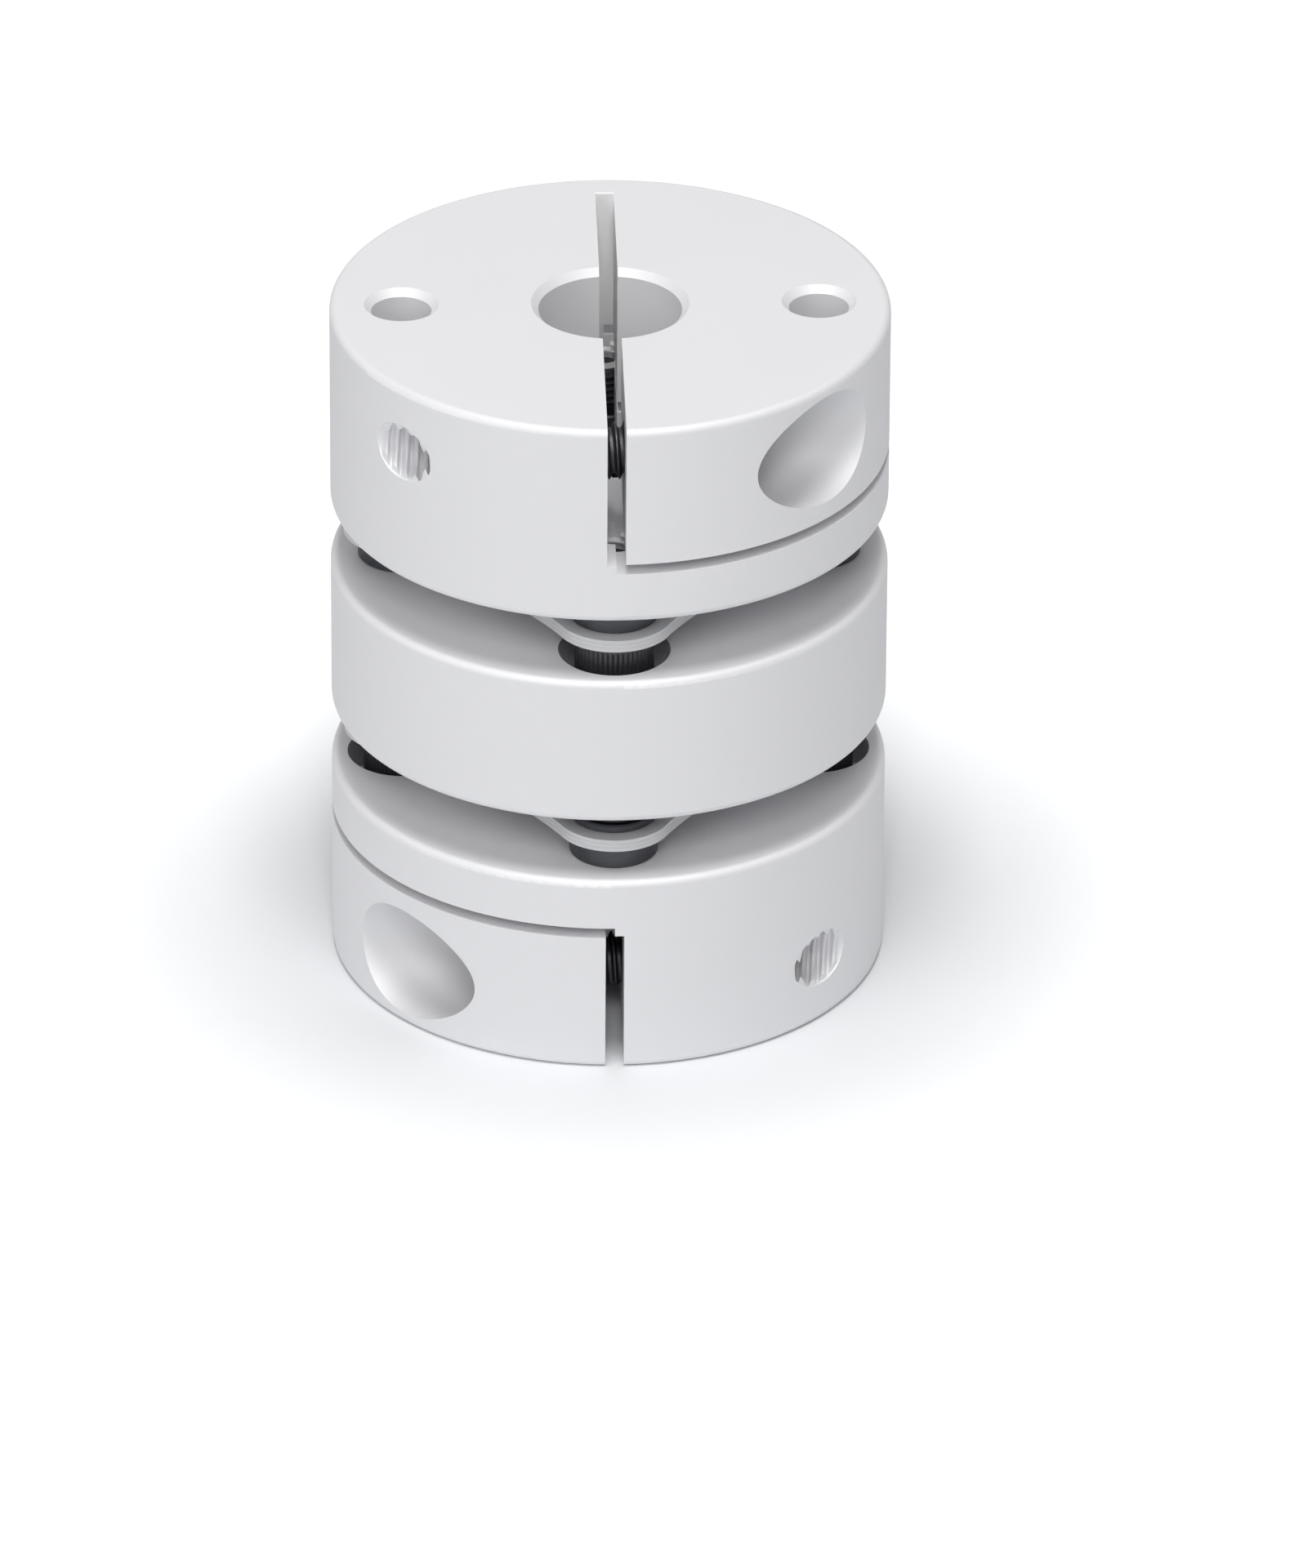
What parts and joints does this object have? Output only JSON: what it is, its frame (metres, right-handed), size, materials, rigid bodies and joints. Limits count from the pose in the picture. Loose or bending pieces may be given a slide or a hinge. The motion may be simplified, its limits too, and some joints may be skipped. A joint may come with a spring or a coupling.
{
  "type": "shaft coupling",
  "caption": "Double-disc flexible shaft coupling with clamp hubs, a centre spacer and bolted spring-steel disc packs.",
  "frame": {"origin": "on the shaft axis, in the middle of the spacer, which is the middle of the whole coupling", "axes": "+Z along the shaft axis towards the upper hub, -Y towards the mouths of both clamping slits, +X towards the head of the upper clamp screw"},
  "size_m": [0.039, 0.039, 0.05],
  "materials": {
    "hub_aluminium": "bead-blasted and clear-anodised, satin",
    "spacer_aluminium": "bead-blasted and clear-anodised, satin",
    "leaf_steel": "cold-rolled spring steel, semi-bright",
    "ring_steel": "turned steel, plain",
    "screw_steel": "black oxide, satin"
  },
  "bodies": {
    "root": {"upper_hub": "hub_aluminium", "spacer": "spacer_aluminium", "lower_hub": "hub_aluminium", "upper_clamp_screw": "screw_steel", "lower_clamp_screw": "screw_steel", "upper_leaf_1": "leaf_steel", "upper_leaf_2": "leaf_steel", "upper_leaf_3": "leaf_steel", "lower_leaf_1": "leaf_steel", "lower_leaf_2": "leaf_steel", "lower_leaf_3": "leaf_steel", "upper_front_bolt": "screw_steel", "upper_right_bolt": "screw_steel", "upper_back_bolt": "screw_steel", "upper_left_bolt": "screw_steel", "lower_front_bolt": "screw_steel", "lower_right_bolt": "screw_steel", "lower_back_bolt": "screw_steel", "lower_left_bolt": "screw_steel", "upper_front_washer": "ring_steel", "upper_right_washer": "ring_steel", "upper_back_washer": "ring_steel", "upper_left_washer": "ring_steel", "lower_front_washer": "ring_steel", "lower_right_washer": "ring_steel", "lower_back_washer": "ring_steel", "lower_left_washer": "ring_steel", "upper_front_collar": "ring_steel", "upper_right_collar": "ring_steel", "upper_back_collar": "ring_steel", "upper_left_collar": "ring_steel", "lower_front_collar": "ring_steel", "lower_right_collar": "ring_steel", "lower_back_collar": "ring_steel", "lower_left_collar": "ring_steel"}
  },
  "joints": []
}
